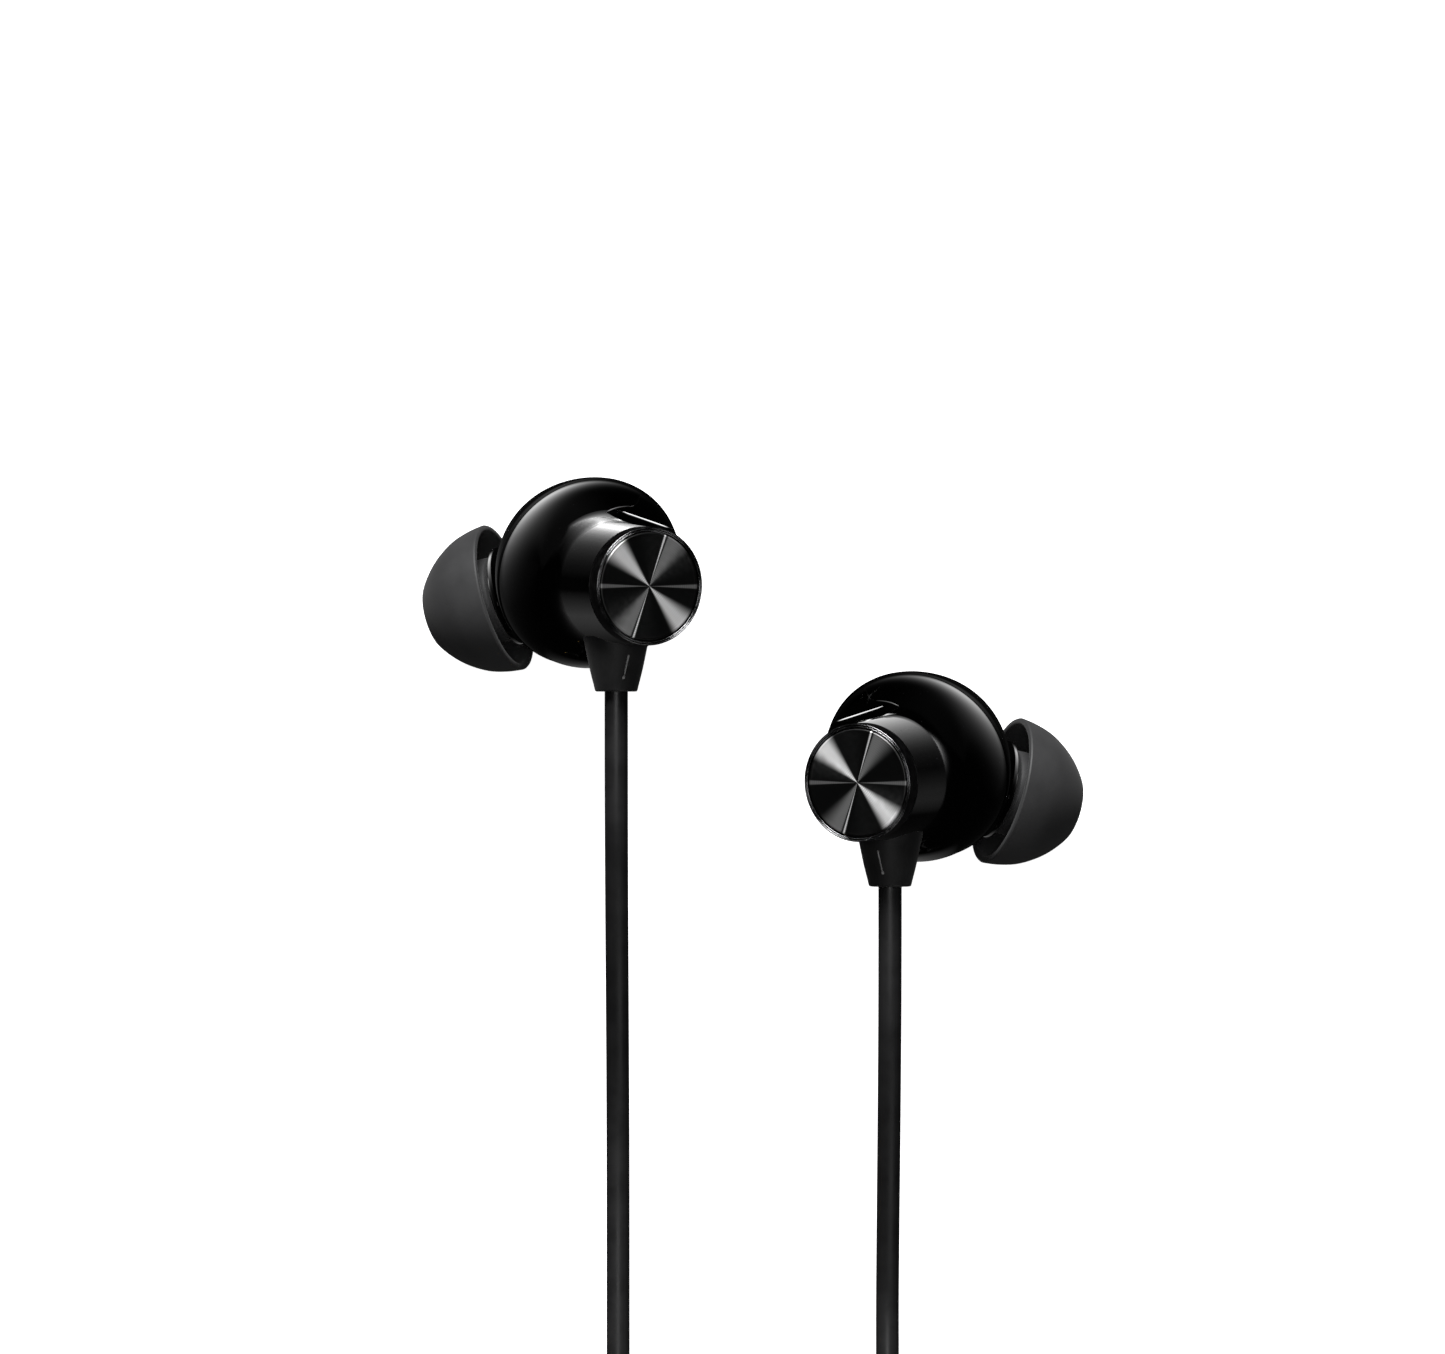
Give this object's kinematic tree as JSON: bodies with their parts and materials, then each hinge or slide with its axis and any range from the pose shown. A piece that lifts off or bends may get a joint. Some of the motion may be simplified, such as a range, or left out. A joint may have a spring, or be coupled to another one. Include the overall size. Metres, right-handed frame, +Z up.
{
  "type": "wired earphones",
  "caption": "In-ear earphones with angled silicone tips, gloss shells, turned metal end discs, an inline remote and a coiled cord with a jack plug.",
  "frame": {"origin": "on the table, under the middle of the box round the two earpieces", "axes": "+X from the left earpiece to the right one, +Y away from the cord, +Z up from the table"},
  "size_m": [0.0544, 0.1437, 0.0197],
  "materials": {
    "shell_gloss": "piano black",
    "tip_silicone": "matte silicone",
    "relief_rubber": "satin rubber",
    "cord_skin": "satin cord jacket",
    "bezel_metal": "polished, dark anodised",
    "disc_metal": "turned with fine concentric grooves, grey anodised",
    "magnet_metal": "nickel plated",
    "steel": "stamped",
    "copper": "enamelled copper wire",
    "film": "thin polymer film",
    "board": "solder mask",
    "tie_fabric": "hook and loop tape",
    "contact_gold": "gold plated, polished"
  },
  "bodies": {
    "earphones": {"left_back_shell": "shell_gloss", "left_front_shell": "shell_gloss", "left_nozzle_screen": "steel", "left_bezel_ring": "bezel_metal", "left_end_disc": "disc_metal", "left_latch_magnet": "magnet_metal", "left_strain_relief": "relief_rubber", "left_cord_knot": "cord_skin", "left_terminal_board": "board", "left_driver_frame": "steel", "left_driver_magnet": "magnet_metal", "left_pole_plate": "steel", "left_driver_grille": "steel", "right_back_shell": "shell_gloss", "right_front_shell": "shell_gloss", "right_nozzle_screen": "steel", "right_bezel_ring": "bezel_metal", "right_end_disc": "disc_metal", "right_latch_magnet": "magnet_metal", "right_strain_relief": "relief_rubber", "right_cord_knot": "cord_skin", "right_terminal_board": "board", "right_driver_frame": "steel", "right_driver_magnet": "magnet_metal", "right_pole_plate": "steel", "right_driver_grille": "steel", "left_cord": "cord_skin", "left_cord_end": "cord_skin", "right_cord_upper": "cord_skin", "right_cord_lower": "cord_skin", "right_cord_end": "cord_skin", "main_cord_start": "cord_skin", "main_cord_end": "cord_skin", "cord_coil": "cord_skin", "cord_tie": "tie_fabric", "splitter_lower_half": "relief_rubber", "splitter_upper_half": "relief_rubber", "remote_back_cover": "shell_gloss", "remote_front_cover": "shell_gloss", "remote_board": "board", "remote_microphone": "steel", "remote_upper_boot": "relief_rubber", "remote_lower_boot": "relief_rubber", "plug_boot": "relief_rubber", "plug_barrel": "shell_gloss", "plug_sleeve": "contact_gold", "plug_ring_2": "contact_gold", "plug_ring_1": "contact_gold", "plug_insulator": "relief_rubber", "plug_tip": "contact_gold"},
    "left_tip": {"left_ear_tip": "tip_silicone"},
    "right_tip": {"right_ear_tip": "tip_silicone"},
    "left_cone": {"left_diaphragm": "film", "left_voice_coil": "copper"},
    "right_cone": {"right_diaphragm": "film", "right_voice_coil": "copper"},
    "volume_up": {"volume_up_button": "relief_rubber"},
    "play": {"play_button": "relief_rubber"},
    "volume_down": {"volume_down_button": "relief_rubber"}
  },
  "joints": [
    {"name": "left_tip_pull_off", "type": "slide", "parent": "earphones", "child": "left_tip", "axis": [-0.9262, -0.259, -0.2741], "range_m": [0, 0.008]},
    {"name": "right_tip_pull_off", "type": "slide", "parent": "earphones", "child": "right_tip", "axis": [0.9262, -0.259, -0.2741], "range_m": [0, 0.008]},
    {"name": "left_cone_stroke", "type": "slide", "parent": "earphones", "child": "left_cone", "axis": [0.355, -0.283, 0.891], "range_m": [-0.00025, 0.00025], "stiffness_N_per_m": 500},
    {"name": "right_cone_stroke", "type": "slide", "parent": "earphones", "child": "right_cone", "axis": [-0.355, -0.283, 0.891], "range_m": [-0.00025, 0.00025], "stiffness_N_per_m": 500},
    {"name": "volume_up_press", "type": "slide", "parent": "earphones", "child": "volume_up", "axis": [0, 0, -1], "range_m": [0, 0.0003], "stiffness_N_per_m": 800},
    {"name": "play_press", "type": "slide", "parent": "earphones", "child": "play", "axis": [0, 0, -1], "range_m": [0, 0.0003], "stiffness_N_per_m": 800},
    {"name": "volume_down_press", "type": "slide", "parent": "earphones", "child": "volume_down", "axis": [0, 0, -1], "range_m": [0, 0.0003], "stiffness_N_per_m": 800}
  ]
}
